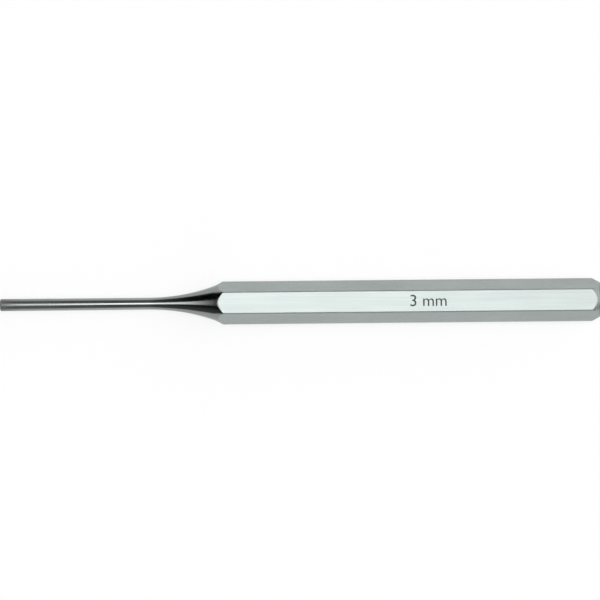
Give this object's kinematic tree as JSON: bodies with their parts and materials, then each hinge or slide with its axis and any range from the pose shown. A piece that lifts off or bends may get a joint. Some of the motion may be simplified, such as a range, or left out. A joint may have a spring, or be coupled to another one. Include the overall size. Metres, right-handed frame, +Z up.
{
  "type": "pin punch",
  "caption": "Hand punch: a hexagonal steel bar turned down through a long hollow flare to a slim parallel pin, with a chamfered struck face, for driving pins out of their holes.",
  "frame": {"origin": "under the middle of the punch, on the surface that it lies on", "axes": "+X along the punch, from the face of the tip towards the struck face; +Z up, square to the flat that the punch lies on; +Y across it"},
  "size_m": [0.15, 0.0108, 0.0094],
  "materials": {
    "ground_steel": "finely ground hardened steel, a little duller than the pin behind it",
    "polished_steel": "turned and polished steel, dark and glossy",
    "satin_chrome": "satin chrome over drawn steel, with faint lines along the bar"
  },
  "bodies": {
    "root": {"driving_tip": "ground_steel", "parallel_pin": "polished_steel", "flare": "polished_steel", "hex_shank": "satin_chrome", "striking_head": "satin_chrome"}
  },
  "joints": []
}
